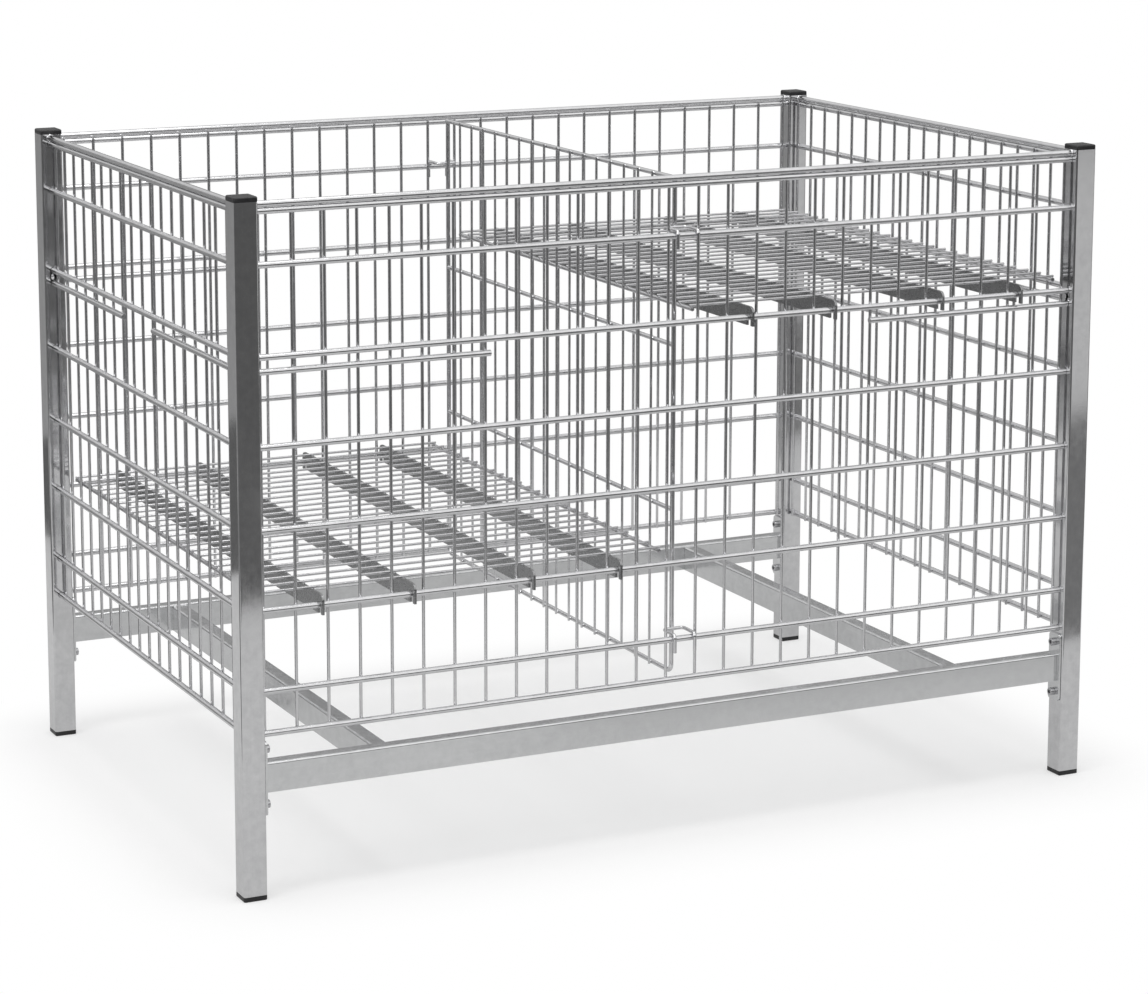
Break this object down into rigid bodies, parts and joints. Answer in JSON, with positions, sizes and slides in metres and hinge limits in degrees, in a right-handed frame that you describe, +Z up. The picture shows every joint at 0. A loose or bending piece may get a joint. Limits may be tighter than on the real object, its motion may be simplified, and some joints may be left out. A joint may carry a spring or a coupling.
{
  "type": "display table",
  "caption": "Zinc wire display table: square posts, wire-grid sides, a lift-off divider across the middle and lift-off wire shelves hung at different heights.",
  "frame": {"origin": "on the floor, under the middle of the table", "axes": "+X along the length towards the side with the high shelf, +Y from front to back, +Z up"},
  "size_m": [1.2, 0.78, 0.8553],
  "materials": {
    "wire_zinc": "bright zinc plate",
    "tube_zinc": "bright zinc plate",
    "sheet_zinc": "satin zinc plate",
    "fastener_steel": "zinc plate",
    "black_plastic": "moulded, satin"
  },
  "bodies": {
    "frame": {"cross_member_left": "sheet_zinc", "cross_member_right": "sheet_zinc", "foot_back_left": "black_plastic", "foot_back_right": "black_plastic", "foot_front_left": "black_plastic", "foot_front_right": "black_plastic", "panel_back": "wire_zinc", "panel_front": "wire_zinc", "panel_left": "wire_zinc", "panel_right": "wire_zinc", "post_back_left": "tube_zinc", "post_back_right": "tube_zinc", "post_front_left": "tube_zinc", "post_front_right": "tube_zinc", "rail_back": "sheet_zinc", "rail_front": "sheet_zinc", "rail_plate_back_left": "sheet_zinc", "rail_plate_back_right": "sheet_zinc", "rail_plate_front_left": "sheet_zinc", "rail_plate_front_right": "sheet_zinc", "rail_screw_back_left_lower": "fastener_steel", "rail_screw_back_left_upper": "fastener_steel", "rail_screw_back_right_lower": "fastener_steel", "rail_screw_back_right_upper": "fastener_steel", "rail_screw_front_left_lower": "fastener_steel", "rail_screw_front_left_upper": "fastener_steel", "rail_screw_front_right_lower": "fastener_steel", "rail_screw_front_right_upper": "fastener_steel", "rim_rod_back": "wire_zinc", "rim_rod_front": "wire_zinc", "rim_rod_left": "wire_zinc", "rim_rod_right": "wire_zinc", "top_cap_back_left": "black_plastic", "top_cap_back_right": "black_plastic", "top_cap_front_left": "black_plastic", "top_cap_front_right": "black_plastic", "weld_nut_back_left_lower": "fastener_steel", "weld_nut_back_left_upper": "fastener_steel", "weld_nut_back_right_lower": "fastener_steel", "weld_nut_back_right_upper": "fastener_steel", "weld_nut_front_left_lower": "fastener_steel", "weld_nut_front_left_upper": "fastener_steel", "weld_nut_front_right_lower": "fastener_steel", "weld_nut_front_right_upper": "fastener_steel"},
    "left_shelf": {"shelf_bar_left_1": "sheet_zinc", "shelf_bar_left_2": "sheet_zinc", "shelf_bar_left_3": "sheet_zinc", "shelf_bar_left_4": "sheet_zinc", "shelf_grid_left": "wire_zinc"},
    "right_shelf": {"shelf_bar_right_1": "sheet_zinc", "shelf_bar_right_2": "sheet_zinc", "shelf_bar_right_3": "sheet_zinc", "shelf_bar_right_4": "sheet_zinc", "shelf_grid_right": "wire_zinc"},
    "divider": {"divider_grid": "wire_zinc", "divider_hook_back_lower": "wire_zinc", "divider_hook_back_upper": "wire_zinc", "divider_hook_front_lower": "wire_zinc", "divider_hook_front_upper": "wire_zinc"}
  },
  "joints": [
    {"name": "left_shelf_lift", "type": "slide", "parent": "frame", "child": "left_shelf", "axis": [0, 0, 1], "range_m": [0, 0.075]},
    {"name": "right_shelf_lift", "type": "slide", "parent": "frame", "child": "right_shelf", "axis": [0, 0, 1], "range_m": [0, 0.085]},
    {"name": "divider_lift", "type": "slide", "parent": "frame", "child": "divider", "axis": [0, 0, 1], "range_m": [0, 0.048]}
  ]
}
